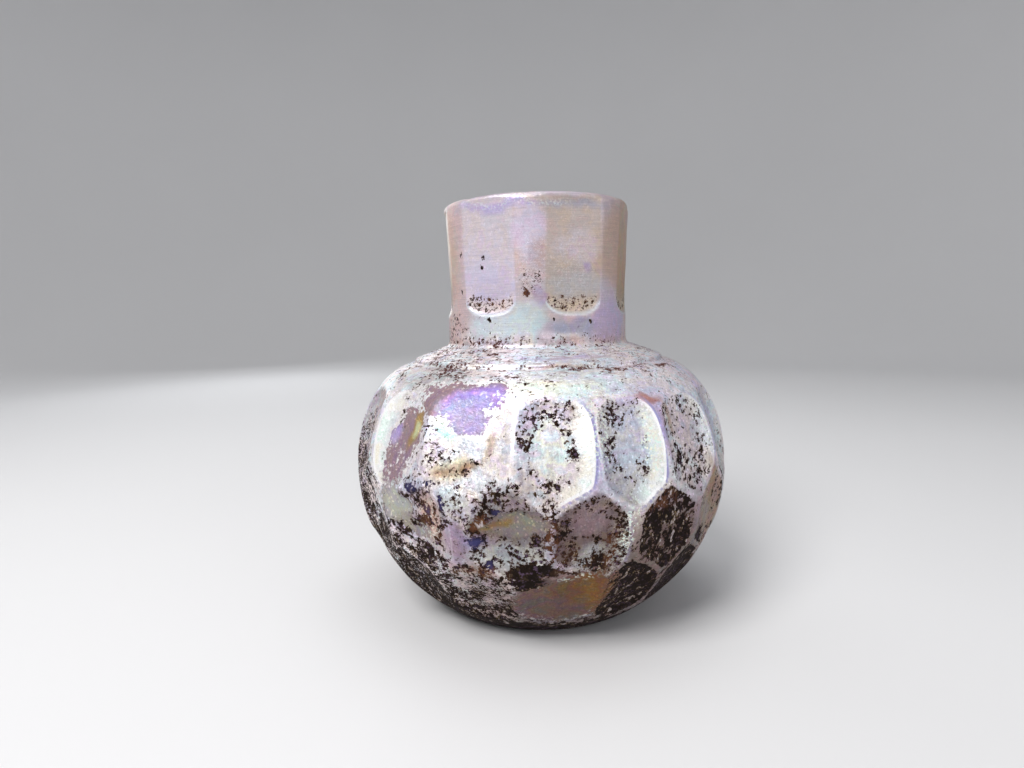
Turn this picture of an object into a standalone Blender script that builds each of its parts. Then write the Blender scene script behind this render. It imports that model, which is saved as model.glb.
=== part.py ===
"""Small round glass bottle with a short wide neck, blown thick and then cut all
over on a wheel: three staggered rows of hollow oval facets round the belly and
seven long flat facets round the neck. It is one piece of glass, hollow and open.

Units are metres, +Z is up, the front faces -Y, and the origin is the centre of
the flat that the bottle stands on.
"""

import math

import bpy
from mathutils import Matrix, Vector

# Blown and turned blank, outside
BELLY_RADIUS = 0.0358  # widest circle, before any cutting
BELLY_RISE = 0.0270  # standing flat up to the widest circle
BASE_RADIUS = 0.0208  # ground flat that the bottle stands on
SHOULDER_RISE = 0.0192  # widest circle up to the crown of the belly
CROWN_RADIUS = 0.0228  # where the curve of the belly has turned level
LEDGE_RADIUS = 0.0242  # low turned disc round the root of the neck
LEDGE_STEP = 0.0007  # height of that disc's edge
CONE_RISE = 0.0021  # rise of the disc from its edge up to the neck
NECK_RADIUS = 0.01735  # neck at its root
NECK_FILLET = 0.0012  # hollow corner between the disc and the neck
NECK_LENGTH = 0.0264  # top of the disc up to the rim
RIM_RADIUS = 0.0181  # neck just under the lip
LIP_HEIGHT = 0.0013  # height over which the lip rolls in
LIP_LAND = 0.0010  # width of the flat ring ground on the very top

# Hollow
WALL = 0.0036  # wall of the belly, before any cutting
FLOOR = 0.0052  # glass under the hollow
FLOOR_FULLNESS = 2.7  # 2 is a round bottom, more is a flatter one
BORE_RADIUS = 0.0148  # straight bore of the neck
BORE_FLARE = 0.0024  # rounding from the bore out into the belly
MOUTH_ROUND = 0.0007  # rounding from the rim into the bore

# Belly facets, in three staggered rows. Rises and lengths are shares of the
# belly's height, widths are shares of the spacing round the belly.
FACETS_ROUND = 16
WHEEL_RADIUS = 0.200  # hollow of a facet along its length
UPPER_RISE = 0.748
UPPER_LENGTH = 0.348
UPPER_WIDTH = 0.81
MIDDLE_RISE = 0.460
MIDDLE_LENGTH = 0.316
MIDDLE_WIDTH = 0.81
LOWER_RISE = 0.222
LOWER_LENGTH = 0.316
LOWER_WIDTH = 0.86
# Angles of the facets that were set out first, in degrees from the front
# towards +X; the others share the rest of the circle evenly.
UPPER_FRONT = (-42.3, -18.6, 4.0, 24.5, 46.0)
MIDDLE_FRONT = (-33.0, -8.0, 12.8, 35.5, 57.0)
LOWER_FRONT = (-19.0, 5.3, 27.0, 49.0)

# Neck facets
NECK_FACETS = 7
NECK_FACET_TURN = 22.5  # angle of the first one, in degrees from the front
NECK_FACET_WIDTH = 0.0108
NECK_FACET_FOOT = 0.0045  # height of the facet's rounded foot
NECK_FACET_EASE = 0.0006  # slope of the wall at the foot
COLLAR_HEIGHT = 0.0058  # plain band between the disc and the neck facets

# Fineness of the mesh
ROUND_STEPS = 64
BOWL_STEPS = 16
BOWL_RINGS = (1.28, 0.92, 0.52, 0.0)  # rings of a facet's cutter, in half widths
SHARP_ANGLE = 24.0  # edges that turn more than this many degrees stay crisp

Z_CROWN = BELLY_RISE + SHOULDER_RISE
LEDGE_TURN = math.acos((LEDGE_RADIUS - CROWN_RADIUS) / (BELLY_RADIUS - CROWN_RADIUS))
Z_LEDGE = BELLY_RISE + SHOULDER_RISE * math.sin(LEDGE_TURN) + LEDGE_STEP
Z_ROOT = Z_LEDGE + CONE_RISE
Z_RIM = Z_ROOT + NECK_LENGTH
Z_LIP = Z_RIM - LIP_HEIGHT
Z_NECK_FACET = Z_ROOT + COLLAR_HEIGHT
BELLY_DROP = BELLY_RISE / math.sqrt(1 - (BASE_RADIUS / BELLY_RADIUS) ** 2)


def clear_scene():
    for obj in list(bpy.data.objects):
        bpy.data.objects.remove(obj, do_unlink=True)


def new_collection(name):
    collection = bpy.data.collections.new(name)
    bpy.context.scene.collection.children.link(collection)
    return collection


def arc(centre, radii, start, end, steps, fullness=2.0):
    """Points (radius, height) of an elliptic arc between two angles in degrees
    counted from +X; a fullness over 2 squares its quarter out."""
    points = []
    for i in range(steps + 1):
        angle = math.radians(start + (end - start) * i / steps)
        across = math.copysign(abs(math.cos(angle)) ** (2 / fullness), math.cos(angle))
        along = math.copysign(abs(math.sin(angle)) ** (2 / fullness), math.sin(angle))
        points.append((centre[0] + radii[0] * across, centre[1] + radii[1] * along))
    return points


def hollow_profile():
    """From the axis on the inner floor, up the inner wall, to the edge of the rim."""
    inner = BELLY_RADIUS - WALL
    ceiling = Z_CROWN - WALL
    bowl = arc((0.0, BELLY_RISE), (inner, BELLY_RISE - FLOOR), -90, 0, 7, FLOOR_FULLNESS)
    bowl[0] = (0.0, FLOOR)
    vault = arc((CROWN_RADIUS, BELLY_RISE), (inner - CROWN_RADIUS, ceiling - BELLY_RISE), 0, 90, 4)
    flare_centre = (BORE_RADIUS + BORE_FLARE, ceiling + BORE_FLARE)
    flare = arc(flare_centre, (BORE_FLARE, BORE_FLARE), 270, 180, 2)
    mouth_centre = (BORE_RADIUS + MOUTH_ROUND, Z_RIM - MOUTH_ROUND)
    mouth = arc(mouth_centre, (MOUTH_ROUND, MOUTH_ROUND), 180, 90, 2)
    return bowl + vault[1:] + flare + mouth


def outer_profile():
    """From the outer edge of the ground rim, down the outside, to the axis below."""
    land = BORE_RADIUS + MOUTH_ROUND + LIP_LAND
    lip = arc((land, Z_LIP), (RIM_RADIUS - land, LIP_HEIGHT), 90, 0, 3)
    root = [(NECK_RADIUS, Z_NECK_FACET)]
    corner = (NECK_RADIUS + NECK_FILLET, Z_ROOT + NECK_FILLET)
    cone_slope = math.degrees(math.atan2(CONE_RISE, LEDGE_RADIUS - NECK_RADIUS))
    fillet = arc(corner, (NECK_FILLET, NECK_FILLET), 180, 270 - cone_slope, 2)
    reach = BELLY_RADIUS - CROWN_RADIUS
    ledge = [(LEDGE_RADIUS - LEDGE_STEP / 3, Z_LEDGE)]
    upper = arc((CROWN_RADIUS, BELLY_RISE), (reach, SHOULDER_RISE), math.degrees(LEDGE_TURN), 0, 8)
    base_angle = math.degrees(math.asin(BELLY_RISE / BELLY_DROP))
    lower = arc((0.0, BELLY_RISE), (BELLY_RADIUS, BELLY_DROP), 0, -base_angle, 7)
    return lip + root + fillet + ledge + upper + lower[1:] + [(0.0, 0.0)]


def turned(name, profile, steps, collection):
    """A solid turned from points (radius, height)."""
    mesh = bpy.data.meshes.new(name)
    mesh.from_pydata(
        [(radius, 0.0, height) for radius, height in profile],
        [(i, i + 1) for i in range(len(profile) - 1)],
        [],
    )
    obj = bpy.data.objects.new(name, mesh)
    collection.objects.link(obj)
    screw = obj.modifiers.new("turn", "SCREW")
    screw.axis = "Z"
    screw.steps = steps
    screw.render_steps = steps
    screw.use_merge_vertices = True
    screw.merge_threshold = 1e-5
    screw.use_smooth_shade = True
    return obj


def finished_mesh(obj):
    """The mesh that the object's modifiers make, as a datablock of its own."""
    graph = bpy.context.evaluated_depsgraph_get()
    mesh = bpy.data.meshes.new_from_object(obj.evaluated_get(graph))
    mesh.name = obj.name + "_mesh"
    return mesh


def belly_skin(height):
    """The blank's belly at a height: its radius, its slope in radians, and the
    radii of its curve round the bottle and along its outline."""
    rise = height - BELLY_RISE
    middle, reach, tall = 0.0, BELLY_RADIUS, BELLY_DROP
    if rise > 0:
        middle, reach, tall = CROWN_RADIUS, BELLY_RADIUS - CROWN_RADIUS, SHOULDER_RISE
    sine = rise / tall
    cosine = math.sqrt(1 - sine**2)
    radius = middle + reach * cosine
    slope = math.atan2(sine / tall, cosine / reach)
    outline_curve = ((reach * sine) ** 2 + (tall * cosine) ** 2) ** 1.5 / (reach * tall)
    return radius, slope, radius / math.cos(slope), outline_curve


def on_wall(turn, radius, height, slope):
    """A frame on the wall, X round the bottle, Y up the wall, Z out of the glass.
    turn is the angle from the front in degrees."""
    spin = Matrix.Rotation(math.radians(turn), 4, "Z")
    place = Matrix.Translation(Vector((0.0, -radius, height)))
    face = Matrix.Rotation(math.pi / 2 - slope, 4, "X")
    return spin @ place @ face


def facet_turns(front):
    """Angles of all facets of a row: those set out first, then the others,
    evenly spaced in what is left of the circle."""
    gap = 360.0 - (front[-1] - front[0])
    others = FACETS_ROUND - len(front)
    step = gap / (others + 1)
    return list(front) + [front[-1] + step * (i + 1) for i in range(others)]


def wheel_bowl(collection):
    """The wheel's rim as a unit bowl: pole at the origin, rising along +Z, with
    a straight wall above its edge that clears the skin."""
    bowl = [(radius, radius**2 / 2) for radius in BOWL_RINGS]
    top = 2.5 * bowl[0][1]
    profile = [(0.0, top), (bowl[0][0], top)] + bowl
    blank = turned("wheel_bowl", profile, BOWL_STEPS, collection)
    mesh = finished_mesh(blank)
    bpy.data.objects.remove(blank, do_unlink=True)
    return mesh


def cut_belly_row(collection, bowl, name, front, rise, length, width):
    """Each bowl is stretched and sunk until it leaves the skin at the facet's
    width and length: half the length squared, times the sum of the skin's and
    the wheel's curvature, is twice the depth."""
    height = rise * Z_CROWN
    radius, slope, curve_round, curve_along = belly_skin(height)
    half_width = width * math.pi * radius / FACETS_ROUND
    half_length = length * Z_CROWN / 2
    depth = half_length**2 * (1 / curve_along + 1 / WHEEL_RADIUS) / 2
    hollow = max(2 * depth / half_width**2 - 1 / curve_round, 1 / WHEEL_RADIUS)
    lift = half_width**2 * hollow
    size = Matrix.Diagonal(Vector((half_width, math.sqrt(lift * WHEEL_RADIUS), lift, 1.0)))
    sink = Matrix.Translation(Vector((0.0, 0.0, -depth)))
    for i, turn in enumerate(facet_turns(front)):
        wheel = bpy.data.objects.new(f"{name}_wheel_{i:02d}", bowl)
        collection.objects.link(wheel)
        wheel.matrix_world = on_wall(turn, radius, height, slope) @ sink @ size


def cut_belly_facets(collection):
    bowl = wheel_bowl(collection)
    cut_belly_row(collection, bowl, "upper", UPPER_FRONT, UPPER_RISE, UPPER_LENGTH, UPPER_WIDTH)
    cut_belly_row(collection, bowl, "middle", MIDDLE_FRONT, MIDDLE_RISE, MIDDLE_LENGTH, MIDDLE_WIDTH)
    cut_belly_row(collection, bowl, "lower", LOWER_FRONT, LOWER_RISE, LOWER_LENGTH, LOWER_WIDTH)


def neck_slab():
    """Flat cutter with a rounded foot: its face is the XY plane, it is thick
    towards +Z, long towards +Y, and its foot touches the origin."""
    half = NECK_FACET_WIDTH / 2
    foot = arc((0.0, NECK_FACET_FOOT), (half, NECK_FACET_FOOT), 180, 360, 12)
    outline = foot + [(half, NECK_LENGTH), (-half, NECK_LENGTH)]
    thick = NECK_FACET_WIDTH / 4
    rings = []
    for grow, lift in ((0.0, 0.0), (NECK_FACET_EASE, NECK_FACET_EASE * 2), (NECK_FACET_EASE, thick)):
        rings.append([(x * (1 + grow / half), y - grow, lift) for x, y in outline])
    return rings


def loft(name, rings):
    """A closed solid through rings of points that all run the same way round."""
    count = len(rings[0])
    points = [point for ring in rings for point in ring]
    faces = [tuple(reversed(range(count))), tuple(range(len(points) - count, len(points)))]
    for level in range(len(rings) - 1):
        for i in range(count):
            a = level * count + i
            b = level * count + (i + 1) % count
            faces.append((a, b, b + count, a + count))
    mesh = bpy.data.meshes.new(name)
    mesh.from_pydata(points, [], faces)
    return mesh


def cut_neck_facets(collection):
    """Each plane follows the flare of the neck, and lies as deep in its skin as
    a flat of the facet's width does."""
    slab = loft("neck_slab", neck_slab())
    depth = NECK_RADIUS - math.sqrt(NECK_RADIUS**2 - (NECK_FACET_WIDTH / 2) ** 2)
    flare = math.atan2(RIM_RADIUS - NECK_RADIUS, Z_LIP - Z_NECK_FACET)
    for i in range(NECK_FACETS):
        turn = NECK_FACET_TURN + 360.0 * i / NECK_FACETS
        wheel = bpy.data.objects.new(f"neck_wheel_{i}", slab)
        collection.objects.link(wheel)
        wheel.matrix_world = on_wall(turn, NECK_RADIUS - depth, Z_NECK_FACET, -flare)


def glass():
    """Weathered glass under a milky, faintly pink and lilac crust."""
    material = bpy.data.materials.new("weathered_glass")
    material.use_nodes = True
    shader = material.node_tree.nodes["Principled BSDF"]
    shader.inputs["Base Color"].default_value = (0.62, 0.55, 0.56, 1.0)
    shader.inputs["Roughness"].default_value = 0.35
    shader.inputs["Metallic"].default_value = 0.0
    return material


def cut(vessel, name, cutters):
    """Takes every solid of a collection out of the vessel."""
    for obj in cutters.objects:
        obj.hide_render = True
        obj.display_type = "WIRE"
    modifier = vessel.modifiers.new(name, "BOOLEAN")
    modifier.operation = "DIFFERENCE"
    modifier.solver = "EXACT"
    modifier.operand_type = "COLLECTION"
    modifier.collection = cutters


def make_bottle():
    clear_scene()
    parts = new_collection("wheel_cut_bottle")
    belly_wheels = new_collection("cutters_belly")
    neck_wheels = new_collection("cutters_neck")

    vessel = turned("bottle", hollow_profile() + outer_profile(), ROUND_STEPS, parts)
    cut_belly_facets(belly_wheels)
    cut_neck_facets(neck_wheels)
    cut(vessel, "belly_facets", belly_wheels)
    cut(vessel, "neck_facets", neck_wheels)

    mesh = finished_mesh(vessel)
    vessel.modifiers.clear()
    vessel.data = mesh
    mesh.shade_smooth()
    mesh.set_sharp_from_angle(angle=math.radians(SHARP_ANGLE))
    mesh.materials.clear()
    mesh.materials.append(glass())


make_bottle()
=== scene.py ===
import math

import bpy
import numpy as np
from mathutils import Matrix, Vector


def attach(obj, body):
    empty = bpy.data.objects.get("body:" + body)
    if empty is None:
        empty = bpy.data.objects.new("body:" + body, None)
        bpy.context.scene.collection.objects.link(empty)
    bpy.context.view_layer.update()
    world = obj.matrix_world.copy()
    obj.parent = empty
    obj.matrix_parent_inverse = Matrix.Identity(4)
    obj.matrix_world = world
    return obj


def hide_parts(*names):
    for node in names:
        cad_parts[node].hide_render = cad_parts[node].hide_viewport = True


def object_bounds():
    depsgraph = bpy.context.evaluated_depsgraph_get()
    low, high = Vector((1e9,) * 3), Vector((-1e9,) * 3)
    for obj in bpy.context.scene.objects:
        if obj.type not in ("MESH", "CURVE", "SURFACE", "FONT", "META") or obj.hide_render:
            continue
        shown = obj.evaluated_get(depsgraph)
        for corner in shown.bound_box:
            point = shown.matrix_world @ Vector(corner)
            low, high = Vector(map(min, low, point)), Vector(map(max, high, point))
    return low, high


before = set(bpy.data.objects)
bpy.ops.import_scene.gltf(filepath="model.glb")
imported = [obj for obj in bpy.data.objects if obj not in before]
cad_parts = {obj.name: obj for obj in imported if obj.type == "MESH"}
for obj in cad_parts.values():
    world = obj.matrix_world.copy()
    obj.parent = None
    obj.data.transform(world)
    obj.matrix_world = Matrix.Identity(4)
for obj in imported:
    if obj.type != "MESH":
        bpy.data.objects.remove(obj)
cadBox = [list(corner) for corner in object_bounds()]
print("frame loaded, box", cadBox)

# The bottle's form in metres: the same sizes as the solid's, and how the surface is worn
form = {
    "bellyRadius": cadBox[1][0],
    "bellyRise": 0.0270,
    "baseRadius": 0.0208,
    "shoulderRise": 0.0192,
    "crownRadius": 0.0228,
    "ledgeRadius": 0.0242,
    "ledgeStep": 0.0007,
    "coneRise": 0.0021,
    "neckRadius": 0.01735,
    "neckFillet": 0.0012,
    "neckFlare": 1.3,  # 1 is a straight flare, more bends outwards near the lip
    "neckFine": (0.0540, 0.0606),  # between these heights, at the flats' feet, the rows lie closer
    "footGap": 0.0003,  # height of the last row over the standing flat
    "rimRadius": 0.0181,
    "rimHeight": cadBox[1][2],
    "lipHeight": 0.0013,
    "lipLand": 0.0010,
    "wall": 0.0036,
    "floor": 0.0052,
    "floorFullness": 2.7,
    "boreRadius": 0.0148,
    "boreFlare": 0.0024,
    "mouthRound": 0.0007,
    "columns": 448,
    "wobble": 0.00013,  # hand-made unevenness of the whole skin
    "wobbleSize": 0.011,
    "ripple": 0.00005,  # finer unevenness
    "rippleSize": 0.0032,
    "ringDepth": 0.00007,  # turned rings on the disc round the neck
    "ringPitch": 0.0013,
    "lipChip": 0.00018,  # worn flakes on the lip: depth, size, reach down, turn and spread in degrees
    "lipChipSize": 0.0013,
    "lipChipReach": 0.0006,
    "lipChipTurn": -30,
    "lipChipSpread": 40,
    # depth of the shallow chips on the belly
    "chips": {"left chip": 0.0004, "lower left chip": 0.00035, "long chip": 0.0005},
}
# Seeds of the random draws
seeds = {
    "facets": 11, "wobble": 3, "ripple": 4, "lip": 8, "across": 21, "along": 31, "blobs": 41,
    "neck": 61, "belly": 71,
}
# Where the skin changes: a zone is 0 at its first height and 1 at its second, in metres
zones = {
    "off the ground": (0.0, 0.002),
    "above the foot": (0.0025, 0.0060),
    "low": (0.030, 0.018),
    "lower facets": (0.030, 0.026),
    "upper facets": (0.0270, 0.0320),
    "over the facets": (0.0440, 0.0455),
    "from the disc up": (0.0466, 0.0470),
    "up to the disc": (0.0500, 0.0492),
    "belly": (0.0500, 0.0490),
    "pitted": (0.052, 0.050),
    "below the neck": (0.0520, 0.0495),
    "neck": (0.0490, 0.0530),
    "neck, low": (0.0690, 0.0580),
    "below the lip": (form["rimHeight"], 0.0738),
}

# Rows of hollow facets: height, length, full width in metres and how square the oval is. The facets
# are listed: turn from the front, width as a share, lift, crust cover, colour, strength of the
# painted highlight and the side it lies on (degrees, 0 right, 90 up). From the left they are
# facets 1 to 5, 6 to 10 and 11 to 14 below; the hidden ones' covers are drawn from the pair "cover".
facetRows = {
    "upper": {
        "height": 0.03456, "length": 0.0161, "width": 0.01105, "square": 2.9,
        "facets": [
            (-42.3, 1.12, 0.0008, 0.09, "pearl", 1.0, 175),
            (-18.6, 1.27, 0.0014, 0.12, "pearl", 0.12, -80),
            (4.0, 1.02, 0.0004, 0.19, "white", 1.0, -18),
            (24.5, 0.97, 0.0000, 0.13, "blueGrey", 1.0, -15),
            (46.0, 1.12, -0.0006, 0.27, "pearl", 0.35, 0),
        ],
        "cover": (0.10, 0.30),
    },
    "middle": {
        "height": 0.02125, "length": 0.0146, "width": 0.0112, "square": 2.5,
        "facets": [
            (-33.0, 1.08, 0.0000, 0.47, "greyLilac", 0.1, 0),
            (-8.0, 1.02, 0.0008, 0.47, "stone", 0.3, -90),
            (12.8, 1.02, 0.0002, 0.46, "roseShade", 0.22, -40),
            (35.5, 1.02, -0.0004, 0.82, "greyLilac", 0.0, 0),
            (57.0, 1.00, -0.0004, 0.25, "ochre", 0.0, 0),
        ],
        "cover": (0.25, 0.80),
    },
    "lower": {
        "height": 0.01026, "length": 0.0146, "width": 0.01044, "square": 2.4,
        "facets": [
            (-19.0, 1.12, 0.0000, 0.70, "pearl", 0.0, 0),
            (5.3, 1.30, 0.0004, 0.05, "roseBrown", 0.3, -90),
            (27.0, 1.00, 0.0000, 0.94, "olive", 0.0, 0),
            (49.0, 1.02, 0.0000, 0.96, "olive", 0.0, 0),
        ],
        "cover": (0.45, 0.92),
    },
}
facetShape = {
    "round": 16,  # facets in each row
    "wheelRadius": 0.200,
    "hollow": 2.5,  # 2 is a bowl, more is a flatter floor with steeper sides
    "spread": 1.05,  # the worn ovals run a little past the solid's
    "ridge": 0.00006,  # rounding of the worn ridges
    "gap": 0.045,  # half width of the bare ridge between two facets, as a share of a facet
    "thinned": 0.6,  # share of the pits gone from the middle of a facet with few
}
neckFacets = {
    "count": 7,
    "turn": 22.5,  # where the middle of one facet lies
    "width": 0.0108,
    "root": 0.05469,  # lowest point of a facet's foot
    "foot": 0.0040,
    "square": 2.7,
    "ease": 0.0008,
    "soft": 0.00004,
    "line": (0.10, 0.32),  # painted highlight along a foot: millimetres over its edge, width
    # colour of each facet at its top and its foot, going round from that one
    "hues": [
        ("beige", "sand"), ("tan", "amber"), ("pink", "beige"), ("rosy", "lilac"), ("sand", "pink"),
        ("beige", "tan"), ("palePink", "paleLavender"),
    ],
}


def arc(centre, radii, start, end, steps, fullness=2.0):
    # radius = centre + reach * cos(a)^(2/fullness), height = centre + rise * sin(a)^(2/fullness)
    angle = np.radians(np.linspace(start, end, steps + 1))
    across = np.sign(np.cos(angle)) * np.abs(np.cos(angle)) ** (2 / fullness)
    along = np.sign(np.sin(angle)) * np.abs(np.sin(angle)) ** (2 / fullness)
    return np.stack([centre[0] + radii[0] * across, centre[1] + radii[1] * along], axis=1)


def straight(start, end, steps):
    # points evenly spaced from start up to, and without, end
    share = np.arange(steps)[:, None] / steps
    return np.array(start) * (1 - share) + np.array(end) * share


def innerOutline(f):
    # quarter oval of the floor, quarter ellipse of the vault, flare, straight bore, round mouth
    inner = f["bellyRadius"] - f["wall"]
    ceiling = f["bellyRise"] + f["shoulderRise"] - f["wall"]
    bowl = arc((0, f["bellyRise"]), (inner, f["bellyRise"] - f["floor"]), -88, 0, 12, f["floorFullness"])
    vault = arc((f["crownRadius"], f["bellyRise"]),
                (inner - f["crownRadius"], ceiling - f["bellyRise"]), 0, 90, 7)
    flareAt = (f["boreRadius"] + f["boreFlare"], ceiling + f["boreFlare"])
    flare = arc(flareAt, (f["boreFlare"],) * 2, 270, 180, 4)
    mouthAt = (f["boreRadius"] + f["mouthRound"], f["rimHeight"] - f["mouthRound"])
    mouth = arc(mouthAt, (f["mouthRound"],) * 2, 180, 90, 4)
    bore = straight(flare[-1], mouth[0], 5)[1:]
    return np.concatenate([bowl[:-1], vault, flare, bore, mouth])


def lowerDrop():
    # half height of the lower ellipse, which has the base's radius at height 0
    return form["bellyRise"] / math.sqrt(1 - (form["baseRadius"] / form["bellyRadius"]) ** 2)


def outerOutline(f):
    # quarter round lip, flared neck, fillet, disc, then two elliptic arcs of the belly and the foot
    land = f["boreRadius"] + f["mouthRound"] + f["lipLand"]
    lipFoot = f["rimHeight"] - f["lipHeight"]
    lip = arc((land, lipFoot), (f["rimRadius"] - land, f["lipHeight"]), 90, 0, 6)
    crown = f["bellyRise"] + f["shoulderRise"]
    reach = f["bellyRadius"] - f["crownRadius"]
    ledgeTurn = math.acos((f["ledgeRadius"] - f["crownRadius"]) / reach)
    upper = arc((f["crownRadius"], f["bellyRise"]), (reach, f["shoulderRise"]),
                math.degrees(ledgeTurn), 0, 50)
    ledgeTop = upper[0][1] + f["ledgeStep"]
    rootHeight = ledgeTop + f["coneRise"]
    slope = math.degrees(math.atan2(f["coneRise"], f["ledgeRadius"] - f["neckRadius"]))
    fillet = arc((f["neckRadius"] + f["neckFillet"], rootHeight + f["neckFillet"]),
                 (f["neckFillet"],) * 2, 180, 270 - slope, 4)
    fineFrom, fineTo = f["neckFine"]
    neckHeights = np.concatenate([
        np.linspace(lipFoot, fineTo, 17)[1:],
        np.linspace(fineTo, fineFrom, 20)[1:],
        np.linspace(fineFrom, fillet[0][1], 8)[1:-1],
    ])
    rise = np.clip((neckHeights - neckFacets["root"]) / (lipFoot - neckFacets["root"]), 0, 1)
    neckRadii = f["neckRadius"] + (f["rimRadius"] - f["neckRadius"]) * rise ** f["neckFlare"]
    neck = np.stack([neckRadii, neckHeights], axis=1)
    edge = (f["ledgeRadius"] - f["ledgeStep"] / 3, ledgeTop)
    cone = straight(fillet[-1], edge, 12)[1:]
    step = straight(edge, upper[0], 3)
    drop = lowerDrop()
    lowest = math.degrees(math.asin((f["bellyRise"] - f["footGap"]) / drop))
    lower = arc((0, f["bellyRise"]), (f["bellyRadius"], drop), 0, -lowest, 62)
    foot = [(f["baseRadius"] * share, 0) for share in (0.985, 0.96, 0.75, 0.5, 0.25)]
    return np.concatenate([lip, neck, fillet, cone, step, upper, lower[1:], foot])


def lattice(points, size, seed):
    # smooth noise from -1 to 1: random values on a cubic lattice, blended by 3t^2 - 2t^3
    table = np.random.default_rng(seed).uniform(-1, 1, (32, 32, 32))
    place = points / size + 500
    cell = np.floor(place).astype(int)
    t = place - cell
    t = t * t * (3 - 2 * t)
    total = 0
    for dx, dy, dz in np.ndindex(2, 2, 2):
        weight = np.abs(1 - dx - t[..., 0]) * np.abs(1 - dy - t[..., 1]) * np.abs(1 - dz - t[..., 2])
        corner = (cell + (dx, dy, dz)) % 32
        total = total + weight * table[corner[..., 0], corner[..., 1], corner[..., 2]]
    return total


def smooth(value, low, high):
    # 3t^2 - 2t^3 with t running from 0 at low to 1 at high; low may be the greater of the two
    t = np.clip((value - low) / (high - low), 0, 1)
    return t * t * (3 - 2 * t)


outline = np.concatenate([innerOutline(form), outerOutline(form)])
innerCount = len(innerOutline(form))
pathLength = np.concatenate([[0], np.cumsum(np.hypot(*np.diff(outline, axis=0).T))])
turns = np.linspace(-180, 180, form["columns"], endpoint=False)
radius = outline[:, :1] * np.ones(len(turns))
height = outline[:, 1:] * np.ones(len(turns))
turn = np.ones((len(outline), 1)) * turns
footRow = int(np.argmax(outline[:, 1] == 0))
climb = (pathLength[footRow] - pathLength)[:, None] * np.ones(len(turns))  # up the wall from the foot
outside = (np.arange(len(outline)) >= innerCount)[:, None] * np.ones(len(turns))
sine, cosine = np.sin(np.radians(turn)), np.cos(np.radians(turn))
place = np.stack([radius * sine, -radius * cosine, climb], axis=-1)  # the surface with its wall unrolled
outerHeights = outline[innerCount:footRow + 1, 1][::-1]
outerClimbs = climb[innerCount:footRow + 1, 0][::-1]
print("outline worked out,", len(outline), "rows of", form["columns"])


def zone(*names):
    # product of the named zones
    return math.prod(smooth(height, *zones[name]) for name in names)


def local(at, rise, across, along, tilt=0.0):
    # distances from an oval's middle along its own axes, as shares of its half sizes
    x = radius * np.radians((turn - at + 180) % 360 - 180)
    y = climb - np.interp(rise, outerHeights, outerClimbs)
    c, s = math.cos(math.radians(tilt)), math.sin(math.radians(tilt))
    return (x * c - y * s) / across, (x * s + y * c) / along


def oval(x, y, square=2.0):
    # 1 - (|x|^n + |y|^n)^(1/n): 1 in the middle of an oval, 0 at its edge
    return 1 - (np.abs(x) ** square + np.abs(y) ** square) ** (1 / square)


def beyond(front, count):
    # the turns of a row's other facets, evenly spaced in what is left of the circle
    step = (360 - (front[-1] - front[0])) / (count - len(front) + 1)
    return [front[-1] + step * (i + 1) for i in range(count - len(front))]


def fullRow(row, random):
    # the facets as listed, then the rest with small differences of width, lift and cover
    facets = list(row["facets"])
    for at in beyond([facet[0] for facet in facets], facetShape["round"]):
        cover = random.uniform(*row["cover"])
        colour = ["pearl", "greyLilac", "pink", "ice", "roseBrown"][random.integers(5)]
        width, lift = random.uniform(0.94, 1.06), random.uniform(-0.0004, 0.0004)
        shine = random.uniform(0.1, 0.7) * (cover < 0.5) * (row["height"] > 0.015)
        side = random.uniform(-90, 10)
        facets.append((at + random.uniform(-0.8, 0.8), width, lift, cover, colour, shine, side))
    return facets


def skinRadius(rise):
    # radius of the outline's curve, ((a sin)^2 + (b cos)^2)^1.5 / (a b) on an ellipse a wide and b high
    wide, high = form["bellyRadius"], lowerDrop()
    if rise > form["bellyRise"]:
        wide, high = form["bellyRadius"] - form["crownRadius"], form["shoulderRise"]
    sine = (rise - form["bellyRise"]) / high
    cosine = math.sqrt(1 - sine * sine)
    return ((wide * sine) ** 2 + (high * cosine) ** 2) ** 1.5 / (wide * high)


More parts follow.
